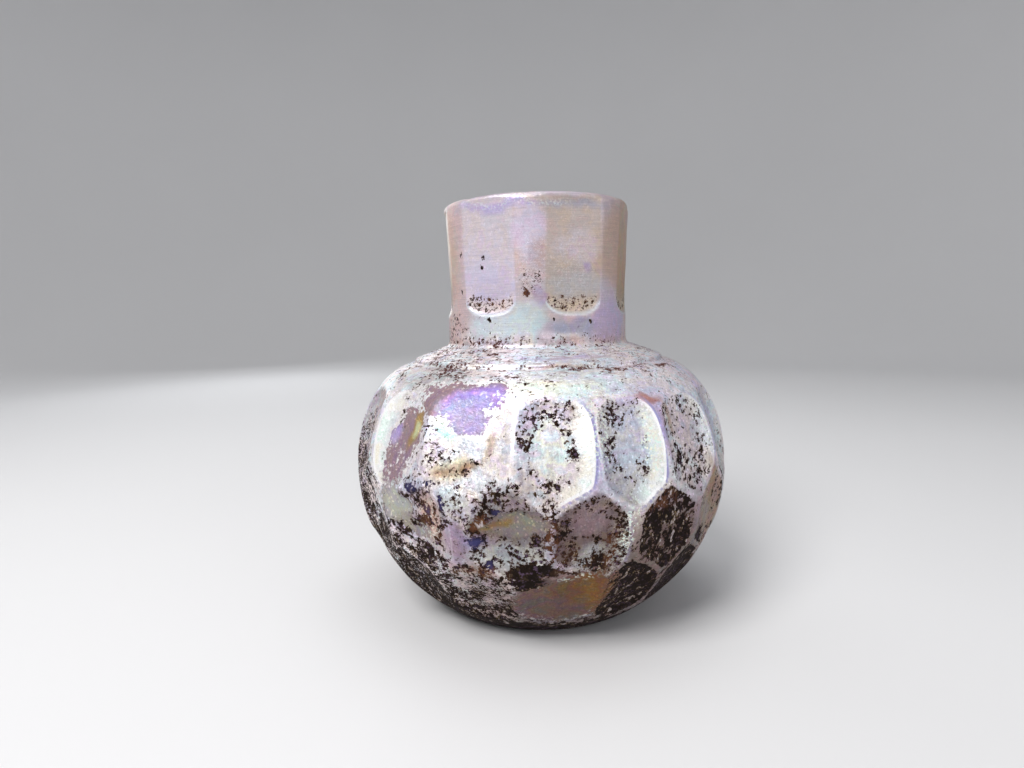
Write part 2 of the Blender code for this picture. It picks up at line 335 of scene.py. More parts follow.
def bellyCut():
    # depth = s * ln(1 + sum of exp(D * (1 - rho^q) / s)), D = half length^2 * (1/skin + 1/wheel) / 2
    random = np.random.default_rng(seeds["facets"])
    ridge, grow = facetShape["ridge"], facetShape["spread"]
    total = np.ones_like(radius)
    best, second = np.full_like(radius, -9.0), np.full_like(radius, -9.0)
    marks = {name: np.zeros_like(radius) for name in ("facetCover", "paintedHighlight", "shade")}
    marks["facetColour"] = np.zeros(radius.shape + (3,))
    for row in facetRows.values():
        half = row["length"] / 2
        depth = half**2 * (1 / skinRadius(row["height"]) + 1 / facetShape["wheelRadius"]) / 2
        for at, width, lift, crust, tint, shine, side in fullRow(row, random):
            x, y = local(at, row["height"] + lift, row["width"] * width / 2 * grow, half * grow)
            inside = oval(x, y, row["square"])
            bowl = 1 - (1 - inside) ** facetShape["hollow"]
            total += np.exp(np.clip(depth * bowl / ridge, -60, 60))
            # how far a point lies towards the side of the facet's painted highlight: 1 there, -1 across
            # from it
            toSide = x * math.cos(math.radians(side)) + y * math.sin(math.radians(side))
            toSide = toSide / np.maximum(np.hypot(x, y), 0.3)
            thinned = (crust < 0.5) * facetShape["thinned"] * smooth(inside, 0.3, 0.7)
            # the facet's painted highlight on one side of the hollow and painted shade across from it
            own = {
                "facetCover": crust * (1 - thinned),
                "paintedHighlight": shine * smooth(toSide, 0.1, 0.7) * smooth(inside, 0.56, 0.20),
                "shade": min(1, shine * 2) * smooth(toSide, -0.1, -0.7) * smooth(inside, 0.42, 0.08),
                "facetColour": linear(tint),
            }
            nearer = inside > best
            second = np.where(nearer, best, np.maximum(second, inside))
            best = np.where(nearer, inside, best)
            for name, values in own.items():
                marks[name][nearer] = np.broadcast_to(values, marks[name].shape)[nearer]
    onBelly = outside * (height < form["bellyRise"] + form["shoulderRise"]) * (radius > 0.01)
    # the ridge between two facets that overlap is an edge too
    edge = np.minimum(best, (best - second) / 2 - facetShape["gap"])
    marks["facetEdge"] = np.where(onBelly > 0, edge, -1)
    marks["paintedHighlight"] *= onBelly
    marks["shade"] *= onBelly
    return ridge * np.log(total) * onBelly, marks


def neckCut():
    # radius - plane / cos(turn), the plane as deep in the skin as a flat of the facet's width
    n = neckFacets
    pitch = 360 / n["count"]
    delta = np.radians((turn - n["turn"] + pitch / 2) % pitch - pitch / 2)
    half = n["width"] / 2
    sunk = form["neckRadius"] - math.sqrt(form["neckRadius"] ** 2 - half**2)
    cut = n["soft"] * np.log1p(np.exp((radius - (radius - sunk) / np.cos(delta)) / n["soft"]))
    x = np.clip(np.abs(radius * np.sin(delta)) / half, 0, 1)
    footLine = n["root"] + n["foot"] * (1 - (1 - x ** n["square"]) ** (1 / n["square"]))
    into = smooth(height, footLine, footLine + n["ease"]) * zone("below the lip")
    above = (height - footLine) * 1000
    inFoot = outside * smooth(x, 0.99, 0.93) * (height > form["bellyRise"] + form["shoulderRise"])
    lineRise, lineWidth = n["line"]
    number = np.round((turn - n["turn"]) / pitch).astype(int) % n["count"]
    top, foot = (np.array([linear(pair[end]) for pair in n["hues"]])[number] for end in (0, 1))
    marks = {
        "footHighlight": np.exp(-(((above - lineRise) / lineWidth) ** 2)) * inFoot,
        "deposit": smooth(above, 0.3, 0.8) * smooth(above, 3.0, 1.6) * smooth(x, 0.95, 0.80) * inFoot,
        "panelColour": mixed(top, foot, zone("neck, low")),
        "panel": smooth(x, 0.985, 0.93) * smooth(above, 0.0, 0.3) * outside,
    }
    return cut * into * outside, marks


# Colours of the crust and of the glass under it, as they look on a screen
palette = {
    "white": (0.95, 0.94, 0.96), "pearl": (0.94, 0.92, 0.94), "cream": (0.95, 0.92, 0.80),
    "pink": (0.82, 0.77, 0.81), "lilac": (0.81, 0.77, 0.87), "lavender": (0.76, 0.70, 0.87),
    "greyLilac": (0.78, 0.74, 0.79), "ice": (0.85, 0.90, 0.93), "mint": (0.82, 0.90, 0.92),
    "blueGrey": (0.70, 0.73, 0.77), "beige": (0.77, 0.70, 0.66), "tan": (0.77, 0.67, 0.58),
    "amber": (0.62, 0.45, 0.27), "gold": (0.60, 0.50, 0.33), "rust": (0.74, 0.54, 0.47),
    "orange": (0.72, 0.42, 0.26), "peach": (0.84, 0.71, 0.65), "roseBrown": (0.68, 0.58, 0.58),
    "mauve": (0.57, 0.49, 0.52), "violet": (0.60, 0.51, 0.76), "dullRose": (0.53, 0.46, 0.44),
    "glass": (0.67, 0.69, 0.66), "olive": (0.46, 0.43, 0.36), "snow": (0.97, 1.0, 0.99),
    "honey": (0.76, 0.62, 0.48), "wisteria": (0.66, 0.61, 0.76), "stone": (0.62, 0.60, 0.61),
    "blush": (0.97, 0.89, 0.87), "paleSand": (0.86, 0.79, 0.72), "lilacShade": (0.70, 0.62, 0.74),
    "aqua": (0.76, 0.91, 0.88), "dullGrey": (0.70, 0.68, 0.69), "roseShade": (0.51, 0.43, 0.41),
    "lime": (0.77, 0.75, 0.58), "ochre": (0.70, 0.59, 0.50), "brown": (0.24, 0.15, 0.12),
    "slate": (0.66, 0.66, 0.75), "paleOlive": (0.60, 0.60, 0.56), "roseGrey": (0.72, 0.64, 0.68),
    "periwinkle": (0.63, 0.63, 0.80), "paleGold": (0.90, 0.83, 0.66), "paleLavender": (0.86, 0.82, 0.92),
    "palePink": (0.86, 0.82, 0.85), "rosy": (0.86, 0.75, 0.74), "sand": (0.75, 0.68, 0.63),
    "darkAmber": (0.53, 0.39, 0.20), "brightAmber": (0.60, 0.44, 0.20),
}


def linear(name):
    # the shader's colour = the screen's colour ^ 2.2
    return np.array(palette[name]) ** 2.2


def mixed(under, over, share):
    # under * (1 - share) + over * share in each channel
    share = share[..., None]
    return under * (1 - share) + over * share


# The crust's own hues, which drift into each other over patches of this size in metres
baseHues = {
    "size": 0.009, "contrast": 3.2,
    "neck": ["pink", "beige", "lilac", "rosy"],
    "belly": ["pearl", "paleLavender", "ice", "white"],
    # how far a facet's, a flat's and a deposit's own colour covers them
    "facetShare": 0.55, "lowFacetShare": 0.35, "flatShare": 0.75, "stainShare": 0.8,
}
# Spots are ovals: turn, height in mm, half width, half height, then what the table says and, where
# one is tilted, its tilt. Where the crust changes colour: colour, strength
tintSpots = [
    # the neck's flats and ridges
    (-28, 59.5, 6, 3.5, "lilac", 0.7), (26, 66, 6.5, 3.5, "pink", 0.6),
    (16, 61.5, 4.6, 4.0, "sand", 0.5), (25, 59.5, 7.5, 3.6, "blueGrey", 0.4),
    # the honey at the right edge and ridge (turns 72 and 53) and the tan at the left edge (turn -72) are
    # painted light through the glass seen edge-on
    (72, 64, 7.0, 12, "honey", 0.6), (-4, 69, 3.4, 7, "paleLavender", 0.7),
    (1, 65.0, 2.2, 3.6, "roseGrey", 0.6), (3, 57.8, 1.5, 2.8, "lilacShade", 0.8),
    (33, 63, 1.1, 1.1, "lilacShade", 0.9), (53, 66, 6.0, 10, "honey", 0.5),
    (-72, 66, 8.0, 12, "tan", 0.5),
    # the neck and the disc behind
    (-130, 66, 7, 8, "sand", 0.7), (125, 60, 6, 7, "lavender", 0.6), (178, 69, 7, 5, "beige", 0.8),
    (160, 52.8, 14, 2.2, "ice", 0.8), (-110, 53.0, 10, 2.0, "slate", 0.6),
    # under the lip, the lip
    (-22, 73.2, 11, 1.2, "lavender", 0.85), (20, 73.2, 10, 1.0, "slate", 0.6),
    (0, 75.2, 26, 1.3, "greyLilac", 0.8),
    # the disc from left to right, the shoulder under it
    (-12, 51.3, 18, 1.5, "white", 0.7), (-22, 53.0, 9.0, 2.6, "ice", 0.8),
    (-4, 54.4, 4, 4.0, "mint", 0.6), (22, 52.8, 7, 2.1, "slate", 0.9),
    (50, 53.5, 7, 4.5, "lavender", 0.6), (10, 47.6, 12, 0.7, "lavender", 0.5),
    (8, 46.4, 7, 0.5, "peach", 0.6),
    # facets 2 and 3, and over them
    (-20, 33.5, 8, 5, "white", 0.7), (-11, 37.5, 3.0, 6, "white", 0.8, 10),
    (3.4, 36, 3.8, 6.5, "snow", 0.9), (4, 43.9, 11, 1.9, "cream", 0.6), (11, 43.6, 9, 1.8, "mint", 0.6),
    # facets 4 and 5, and the right edge
    (31.2, 35.5, 2.0, 7.2, "mint", 0.5), (35.2, 36, 0.9, 5.5, "violet", 0.5),
    (33.8, 41.5, 3.8, 0.9, "orange", 0.7, 16), (10.6, 41.0, 0.9, 1.0, "mauve", 1.0),
    (40.3, 38.2, 1.1, 3.6, "tan", 0.8), (66, 36, 6, 9, "lilac", 0.6), (48, 36, 5, 6, "pink", 0.6),
    # the middle row: ridge by facet 9, lavender patch, facets 8 and 7
    (22.6, 18.5, 1.2, 4.5, "ice", 0.9, 8), (21.6, 21.5, 0.7, 1.0, "gold", 1.0),
    (-21.4, 20.8, 3.8, 4.8, "lilacShade", 0.9, -15), (12.5, 24.6, 4.2, 3.4, "roseGrey", 0.55),
    (13.8, 18.4, 4.4, 3.2, "ice", 0.85), (-9.5, 28.4, 6.5, 2.2, "stone", 0.45),
    (-8, 18.6, 6.5, 3.2, "ice", 0.8), (-16.5, 26.0, 2.2, 2.6, "ice", 0.7),
    # blue, ice and mint patches on the left
    (-34.0, 28.4, 2.6, 1.6, "slate", 0.7), (-25.0, 26.4, 1.8, 2.4, "periwinkle", 0.6, 15),
    (-16.0, 20.6, 2.6, 2.0, "periwinkle", 0.7), (-22, 27.4, 3.6, 2.2, "ice", 0.9),
    (-25.6, 37.6, 2.4, 1.5, "aqua", 1.0, 20),
    # low down, from right to left
    (38, 16, 17, 13, "dullRose", 0.85), (-15.2, 23.8, 1.6, 2.2, "brown", 0.7),
    (-31, 25.6, 2.6, 3.6, "mauve", 0.5, -20), (-19, 15.8, 6.5, 1.5, "peach", 0.8, 6),
    (-44, 13, 18, 11, "white", 0.7),
    # the left edge, ochre patches and flecks by the left chips
    (-66, 33, 7, 10, "pearl", 0.7), (-22.5, 32.0, 5.0, 2.6, "paleGold", 0.8, -14),
    (-23.8, 31.6, 3.0, 1.5, "ochre", 1.0, -14), (-17.2, 32.8, 2.8, 1.4, "ochre", 1.0, -28),
    (-12.5, 35.5, 1.2, 3.2, "sand", 0.8, 20), (-29.5, 23, 3.2, 6, "peach", 0.8, -12),
    # the shoulder's sides, the far right
    (-45, 44.8, 14, 4.4, "dullGrey", 0.8), (38, 45, 12, 4.0, "white", 0.5),
    (57, 26, 2.2, 6.5, "amber", 0.9, -20),
    # behind
    (112, 28, 6, 3, "peach", 0.8, 20), (150, 40, 9, 3.5, "mint", 0.7), (-150, 36, 6, 6, "rosy", 0.8),
    (-112, 26, 6, 5, "ice", 0.7), (-96, 41, 3.4, 0.9, "orange", 0.8, -14),
]
# Where the crust has come away and the glass shows: its colour
bareSpots = {
    "violet patch": (-25.0, 41.9, 7.0, 3.3, "mauve", -6),
    "violet patch, top": (-24.5, 43.5, 7.6, 1.4, "mauve"),
    "violet patch, right": (-13.6, 43.7, 3.2, 1.0, "mauve"),
    "violet patch, ring": (-19.0, 42.2, 5.6, 2.2, "violet", -12),
    "violet patch, heart": (-21.6, 40.9, 3.8, 1.9, "periwinkle", -16),
    "violet patch, low": (-19.4, 39.4, 3.4, 2.6, "wisteria"),
    "left patch": (-41.4, 34.6, 3.8, 7.2, "mauve", 18),
    "left patch, violet": (-46.4, 36.2, 1.3, 2.0, "wisteria", 10),
    "left patch, gold": (-36.8, 37.4, 1.0, 3.6, "gold", 14),
    "left patch, lime": (-36.4, 37.4, 0.7, 1.3, "lime", 10),
    "left chip": (-41.0, 25.0, 3.6, 2.9, "glass", 12),
    "lower left chip": (-35.0, 21.4, 3.4, 1.5, "paleOlive", 24),
    "long chip": (-6.0, 23.8, 5.2, 1.8, "paleOlive", -6),
    "long chip, amber": (-10.6, 23.7, 2.6, 0.5, "gold", -12),
    "facet 12": (5.6, 9.4, 7.8, 6.2, "roseShade"),
    "facet 12, amber": (12.4, 12.2, 5.6, 4.2, "darkAmber", -14),
    "facet 12, gold": (16.6, 9.8, 2.2, 4.2, "brightAmber", -8),
    # on the hidden side, plainer
    "behind, violet": (140, 39.5, 5.5, 3.4, "violet"),
    "behind, violet rim": (134, 41.0, 4.6, 2.6, "mauve", 10),
    "behind, ochre": (-158, 33.0, 3.6, 1.6, "ochre", 18),
    "behind, chip": (97, 23.0, 3.4, 1.9, "glass", -15),
    "behind, low": (-128, 11.0, 5.0, 4.0, "roseBrown"),
    "behind, ochre strip": (-104, 36.0, 2.0, 4.0, "ochre", -10),
}
# Where dark crust lies thickest: cover
darkSpots = [
    # the neck, its feet and its edges
    (-2.0, 60.4, 2.6, 2.4, 0.22), (-4.8, 58.7, 0.9, 0.9, 0.97), (-33, 57.2, 3.4, 1.2, 0.35),
    (-41, 57.0, 1.8, 1.4, 0.5), (20, 56.6, 5.2, 1.3, 0.35), (-60, 52.5, 5, 3.0, 0.22),
    (66, 56.5, 1.2, 1.2, 0.6),
    # single marks and dots on the neck
    (-34, 63.1, 0.34, 0.66, 0.9, 24), (-34.6, 65.2, 0.46, 0.30, 0.85, -24),
    (-34.4, 61.8, 0.26, 0.26, 0.9), (-47, 65.2, 0.55, 0.30, 0.95, 20), (-51.5, 59.4, 0.35, 0.50, 1.0),
    (-27.0, 54.2, 0.42, 0.40, 1.0), (31.6, 53.3, 0.45, 0.45, 1.0), (9.6, 54.3, 0.22, 0.22, 1.0),
    # the disc
    (24.0, 46.0, 9.0, 0.9, 0.58, 3), (57, 45.7, 3.0, 0.9, 0.92), (2, 46.5, 3.5, 0.4, 0.35),
    # facets 1 and 2
    (-49.5, 31.8, 1.1, 1.3, 0.65), (-44, 39.0, 1.6, 2.4, 0.4, 12), (-26, 34.4, 3.2, 1.5, 0.42, -10),
    (-14, 34.0, 2.6, 2.4, 0.30),
    # facet 3
    (-3.4, 37.6, 1.0, 4.2, 0.5, 5), (8.0, 41.6, 0.9, 1.1, 0.6), (8.4, 35.0, 1.7, 4.8, 0.58, -14),
    (4.2, 30.2, 3.0, 1.5, 0.5), (10.6, 41.0, 0.40, 0.45, 0.5),
    # facets 4 and 5
    (20.2, 39.6, 1.5, 1.9, 0.66), (20.6, 31.6, 1.4, 1.2, 0.48), (27.4, 31.2, 1.8, 1.8, 0.56),
    (18.8, 34.8, 1.1, 2.8, 0.60, 6), (40.8, 34.5, 0.9, 4.8, 0.6), (50, 33.5, 1.6, 4.0, 0.4),
    # over facet 7, by the long chip and the column on its right
    (-9.5, 28.6, 6.0, 2.0, 0.42), (-14.2, 24.8, 1.2, 2.2, 0.75), (2.6, 22.0, 1.5, 5.2, 0.66),
    # facet 8
    (6.8, 20.6, 1.9, 4.6, 0.78, -8), (13.0, 16.8, 4.4, 2.6, 0.78), (18.8, 21.0, 1.2, 4.6, 0.55, 10),
    (11.5, 26.2, 0.8, 1.2, 0.6, 20), (12.5, 17.6, 4.6, 2.8, 0.5),
    # over facet 12, the standing edge
    (0.5, 16.4, 3.8, 1.7, 0.99, -10), (-3.2, 13.9, 4.2, 2.6, 0.995, 22), (6, 2.7, 30, 3.3, 0.985),
    # the left side
    (-50, 11, 18, 12, 0.90), (-64, 24, 8, 11, 0.64), (-68, 31, 5, 9, 0.50),
    # the right side
    (64, 37, 2.0, 7.0, 0.42, -10), (54, 16.0, 3.0, 3.2, 0.97), (59, 26.5, 0.7, 4.2, 0.9, -14),
    (65, 24.5, 0.8, 4.0, 0.8, -14),
]
# Further marks on the crust: strength
accents = {
    "paintedGlints": [  # painted glints: sides of facets 3 to 5, ridges, under the lip
        (14.5, 37.5, 2.6, 7.5, 0.7), (31.0, 35.5, 2.2, 7.6, 1.0), (17.0, 36.0, 1.6, 7.0, 0.7),
        (22.4, 22.5, 1.6, 7.0, 0.8, 5), (18, 42.6, 9, 1.6, 0.5), (55, 36, 2.0, 6.0, 0.5),
        (38.6, 37.0, 1.0, 4.0, 0.6), (10.0, 14.8, 4.6, 1.0, 0.7), (-10.0, 73.6, 16, 1.1, 0.35),
        (-30, 22, 3.4, 6, 0.4, -12),
    ],
    "rusty": [  # rust in the pits: facets 8, 9 and 11, by the chips, the disc, the neck's feet, behind
        (31, 26.4, 5, 2.4, 1.0), (2.6, 22.0, 1.6, 5.2, 0.9), (8, 17.5, 4.5, 4.5, 0.4),
        (18.8, 19, 2.0, 5, 0.8), (-17, 15.4, 7, 1.7, 1.0), (-14.8, 24.2, 1.8, 2.6, 1.0),
        (24, 45.8, 12, 1.0, 0.8), (-29, 23, 4, 6, 0.7), (-4.8, 58.7, 1.4, 1.4, 1.0),
        (0, 57, 18, 2.4, 0.8), (140, 24, 14, 6, 0.7), (-120, 18, 12, 5, 0.8),
    ],
    "crackle": [  # pale cracks: the neck, the right shoulder, the chips, facet 13
        (-2, 64, 4.0, 9, 0.8), (21, 63, 6, 8, 0.6), (120, 64, 16, 8, 0.4), (48, 44.5, 9, 3.0, 0.5),
        (-38, 24, 5, 4, 0.15), (27, 8, 5, 3.5, 0.4), (-6.5, 24.2, 4.5, 1.4, 0.4),
    ],
    "coarse": [  # pits gathered in blobs: the facets, the left edge, behind
        (-36, 19.5, 8, 5, 1.0), (-62, 24, 12, 14, 0.2), (-19, 10, 7, 7, 0.4), (4, 35, 6, 8, 0.35),
        (24, 35, 5, 7, 0.55), (46, 34, 6, 8, 0.6), (-18, 32, 8, 3, 0.15), (-44, 36, 5, 7, 0.6),
        (-8, 20, 7, 6, 0.4), (12, 20, 6, 7, 0.5), (35.5, 21, 6, 8, 0.5), (180, 30, 70, 16, 0.4),
    ],
    "clear": [  # fewer pits: middles of facets, the lavender patch, the far right
        (-15.5, 37.5, 4.2, 3.4, 0.8), (3.6, 35.8, 2.6, 4.4, 1.0), (25.4, 35.5, 1.8, 2.4, 0.9),
        (-21.0, 20.5, 3.4, 4.2, 0.8, -15), (12.5, 24.2, 3.4, 2.6, 0.9), (-50, 35.5, 2.0, 6.0, 1.0, 8),
        (57, 27, 2.2, 5, 0.9, -12),
    ],
    "indigo": [  # bluish pits: left of the middle
        (-34.6, 28.5, 1.5, 1.1, 0.6), (-25.4, 26.8, 1.0, 1.5, 0.7, 15), (-15.6, 20.7, 1.6, 1.2, 0.8),
        (-29.0, 29.4, 1.6, 1.0, 0.5, -12), (-10.6, 25.6, 0.8, 0.8, 0.6), (-31.0, 24.4, 1.0, 1.4, 0.4),
        (-12.6, 16.6, 1.1, 0.9, 0.6),
    ],
    "solidDark": [  # dark without crumbs: over facet 12, the standing edge, facets 13 and 14, the far right
        (-1, 15.6, 7, 4, 1.0), (6, 1.6, 30, 3.2, 1.0), (27, 9, 6, 7, 0.45), (49, 8, 7, 7, 0.9),
        (56, 15.5, 4, 4, 0.9),
    ],
    "snow": [  # flecks of crust on the glass: round the violet patch and the left patch, behind
        (-25, 44.4, 9.5, 1.7, 1.0), (-12.5, 42.4, 3.4, 2.4, 0.8), (-43, 32, 3.2, 5, 0.7),
        (140, 41, 6, 2.4, 0.8),
    ],
    "fine": [  # finer pits: facet 11, the left side, the neck, the shoulder
        (-18, 10, 6.5, 7, 1.0), (-46, 12, 16, 12, 1.0), (-66, 30, 8, 16, 1.0), (0, 64, 58, 13, 1.0),
        (0, 47, 90, 3.4, 0.6),
    ],
}
# The pits gather into blobs: their sizes in metres with their shares, and how strongly they gather
blobs = {
    "sizes": {0.0042: 0.45, 0.0018: 0.60, 0.0011: 0.50},
    "strength": 0.09, "coarse": 0.24, "clear": 0.16, "indigo": 0.20,
}
# The crust and the glass darken and turn brown to the foot, patina and painted shade: how much, by height
# in mm
patinaAndShadeByHeight = {
    "heights": [0, 3, 8, 24, 33], "shares": [1.8, 1.1, 0.85, 0.6, 0.0], "colour": (0.72, 0.66, 0.64),
    "left": 0.8,  # less on the left
}
# How far the spots' outlines stray, for each size of noise, in metres
stray = {0.0031: 0.00085, 0.0014: 0.0004}
# Cover of the skin between the facets, by height in mm
skinCover = {
    "heights": [0, 6, 14, 22, 30, 43, 45.6, 48, 50.5, 52, 54, 57, 76],
    "covers": [0.70, 0.56, 0.32, 0.18, 0.08, 0.06, 0.14, 0.14, 0.09, 0.04, 0.03, 0.010, 0.008],
    "left": 2.1,  # more on the left
    "right": 0.35,  # less on the lower right, where the ridges stay pale
    "deposit": 0.38,  # in the feet of the neck's flats
}


def toLevel(cover):
    # a noise of middle 0.5 is below 0.5 + 0.052 * ln(c / (1 - c)) on about a share c of the surface
    held = np.clip(cover, 0.0005, 0.9995)
    return 0.5 + 0.052 * np.log(held / (1 - held))


def bendOf(seed):
    # sum of the lattice noises, each times its reach
    return sum(reach * lattice(place, size, seed + i) for i, (size, reach) in enumerate(stray.items()))


bend = (bendOf(seeds["across"]), bendOf(seeds["along"]))


def spotField(at, rise, across, along, tilt=0):
    # an oval in millimetres whose outline strays by the bend
    x, y = local(at, rise / 1000, across / 1000, along / 1000, tilt)
    return oval(x + bend[0] / across * 1000, y + bend[1] / along * 1000)


def drifting(names, seed):
    # mean of the hues, each weighed by exp(contrast * its own lattice noise)
    weights = [np.exp(baseHues["contrast"] * lattice(place, baseHues["size"], seed + i))[..., None]
               for i in range(len(names))]
    return sum(weight * linear(name) for weight, name in zip(weights, names)) / sum(weights)


def crustColour(facets, neck, tone):
    # drifting hues, then the facets' and flats' own, then the spots, one over the other
    tint = mixed(drifting(baseHues["neck"], seeds["neck"]), drifting(baseHues["belly"], seeds["belly"]),
                 zone("belly"))
    share = baseHues["facetShare"] + baseHues["lowFacetShare"] * zone("lower facets")
    tint = mixed(tint, facets["facetColour"], smooth(facets["facetEdge"], 0.0, 0.06) * share)
    tint = mixed(tint, neck["panelColour"], baseHues["flatShare"] * neck["panel"])
    for at, rise, across, along, colour, strength, *tilt in tintSpots:
        cover = strength * smooth(spotField(at, rise, across, along, *tilt), 0.0, 0.55)
        tint = mixed(tint, linear(colour), cover * outside)
    stain = np.where(turn[..., None] < 0, linear("blush"), linear("paleSand"))
    return mixed(tint * tone, stain, baseHues["stainShare"] * neck["deposit"])


def footPatinaAndShade():
    # (1 - share * (1 - colour)) ^ 2.2
    share = np.interp(height * 1000, patinaAndShadeByHeight["heights"], patinaAndShadeByHeight["shares"])
    share = share * (1 - patinaAndShadeByHeight["left"] * smooth(turn, -12, -40))
    return (1 - share[..., None] * (1 - np.array(patinaAndShadeByHeight["colour"]))) ** 2.2


def bareGlass():
    # colour of the glass, and how far inside the bare spots each point lies
    bare = np.full_like(radius, -1.0)
    glass = np.ones(radius.shape + (3,)) * linear("mauve")
    for at, rise, across, along, colour, *tilt in bareSpots.values():
        inside = spotField(at, rise, across, along, *tilt)
        glass = mixed(glass, linear(colour), smooth(inside, -0.35, 0.35))
        bare = np.maximum(bare, inside)
    return glass, np.where(outside > 0, bare, -1)


def pitCovers(facets, neck):
    # cover of the skin and of the facets; on the lower right the spots lie thinner on the skin
    side = np.clip(turn / 40, -1, 1) * (np.abs(turn) < 100)
    low = zone("low", "above the foot")
    skin = np.interp(height * 1000, skinCover["heights"], skinCover["covers"])
    skin = skin * np.where(side < 0, 1 - side * (skinCover["left"] - 1), 1)
    skin = skin * (1 - low * np.clip(side, 0, 1) * (1 - skinCover["right"]))
    facet = facets["facetCover"].copy()
    for at, rise, across, along, cover, *tilt in darkSpots:
        amount = cover * smooth(spotField(at, rise, across, along, *tilt), -0.15, 0.45)
        facet = np.maximum(facet, amount)
        skin = np.maximum(skin, amount * (1 - low * np.where(side > 0, 0.75, -0.30) * side))
    return np.maximum(skin, skinCover["deposit"] * neck["deposit"]), facet


def strongest(spots):
    # the greatest of strength * smooth(field) over all the spots
    return np.max([
        strength * smooth(spotField(at, rise, across, along, *tilt), 0.0, 0.6)
        for at, rise, across, along, strength, *tilt in spots
    ], axis=0)


def paint(facets, neck):
    # every field that the glass finish reads, by name
    # darker and browner towards the foot: patina and painted shade of the underside
    tone = footPatinaAndShade()
    glass, bare = bareGlass()
    skin, facet = pitCovers(facets, neck)
    marks = {name: outside * strongest(spots) for name, spots in accents.items()}
    blob = sum(share * lattice(place, size, seeds["blobs"] + i)
               for i, (size, share) in enumerate(blobs["sizes"].items()))
    crowd = (blobs["strength"] + blobs["coarse"] * marks.pop("coarse")) * blob * zone("pitted")
    crowd += blobs["indigo"] * marks["indigo"] - blobs["clear"] * marks.pop("clear")
    return marks | {
        "tint": crustColour(facets, neck, tone), "glassTint": glass * tone, "bare": bare,
        "skinLevel": toLevel(skin) + crowd, "facetLevel": toLevel(facet) + crowd,
        "facetEdge": facets["facetEdge"], "paintedHighlight": facets["paintedHighlight"], "shade": facets["shade"],
        # painted shadow line beside the painted highlight, on the facets right of the middle
        "rimShadow": facets["paintedHighlight"] * smooth(turn, -8, 0), "footHighlight": neck["footHighlight"],
        "rich": smooth(facet, 0.5, 0.8) * outside, "hollowSide": 1 - outside,
    }


def closedShell(name, points, poles):
    # quads (r, c), (r + 1, c), (r + 1, c + 1), (r, c + 1) on a grid closed round, the first row
    # drawn together to the first pole and the last row to the second, where there is one
    rows, columns = points.shape[:2]
    number = np.arange(rows * columns).reshape(rows, columns)
    beside = np.roll(number, -1, axis=1)
    quads = np.stack([number[:-1], number[1:], beside[1:], beside[:-1]], axis=-1).reshape(-1, 4)
    pole = np.full(columns, rows * columns)
    caps = [np.stack([pole, number[0], beside[0]], axis=-1)]
    if len(poles) > 1:
        caps.append(np.stack([number[-1], pole + 1, beside[-1]], axis=-1))
    mesh = bpy.data.meshes.new(name)
    mesh.from_pydata(points.reshape(-1, 3).tolist() + poles, [],
                     quads.tolist() + np.concatenate(caps).tolist())
    mesh.shade_smooth()
    piece = bpy.data.objects.new(name, mesh)
    bpy.context.scene.collection.objects.link(piece)
    return piece


def store(mesh, name, values):
    # one value or colour for each grid point, with the mean of the end rows at the poles
    ends = values[[0, -1]].mean(axis=1)
    values = np.concatenate([values.reshape(-1, *values.shape[2:]), ends])
    kind, key = ("FLOAT", "value") if values.ndim == 1 else ("FLOAT_VECTOR", "vector")
    layer = mesh.attributes.new(name, kind, "POINT")
    layer.data.foreach_set(key, values.ravel().astype(np.float32))


def makeBottle():
    # point = (r sin a, -r cos a, h) + normal * (wobble - cut), normal from the outline's direction
    direction = np.diff(outline, axis=0)
    direction /= np.linalg.norm(direction, axis=1)[:, None]
    tangent = np.concatenate([direction[:1], direction[:-1] + direction[1:], direction[-1:]])
    tangent /= np.linalg.norm(tangent, axis=1)[:, None]
    flat = np.stack([radius * sine, -radius * cosine, height], axis=-1)
    outward, upward = -tangent[:, 1:], tangent[:, :1] * np.ones(len(turns))
    normal = np.stack([outward * sine, -outward * cosine, upward], axis=-1)

    cut, facets = bellyCut()
    neck, neckMarks = neckCut()
    push = form["wobble"] * lattice(flat, form["wobbleSize"], seeds["wobble"])
    push += form["ripple"] * lattice(flat, form["rippleSize"], seeds["ripple"])
    rings = np.sin(radius / form["ringPitch"] * 2 * math.pi)
    push += zone("from the disc up", "up to the disc") * outside * form["ringDepth"] * rings
    free = zone("off the ground") * (outside * 0.75 + 0.25)
    for name, depth in form["chips"].items():
        at, rise, across, along, _, *tilt = bareSpots[name]
        cut = cut + depth * smooth(spotField(at, rise, across, along, *tilt), 0.0, 0.35) * outside
    flakes = smooth(lattice(flat, form["lipChipSize"], seeds["lip"]), 0.2, 0.7)
    flakes = flakes * smooth(height, form["rimHeight"] - form["lipChipReach"], form["rimHeight"])
    flakes = flakes * (np.abs(turn - form["lipChipTurn"]) < form["lipChipSpread"])
    points = flat + normal * (push * free - cut - neck)[..., None]
    points[..., 2] -= flakes * form["lipChip"]
    piece = closedShell("glass_bottle", points, [(0, 0, form["floor"]), (0, 0, 0)])

    marks = paint(facets, neckMarks)
    marks["neckSide"] = zone("neck") * outside
    marks["foam"] = zone("upper facets") * outside
    marks["streaky"] = zone("over the facets", "below the neck") * outside
    marks["skin"] = place * 1000
    for name, values in marks.items():
        store(piece.data, name, values)
    print("bottle made,", len(piece.data.polygons), "faces")
    return piece


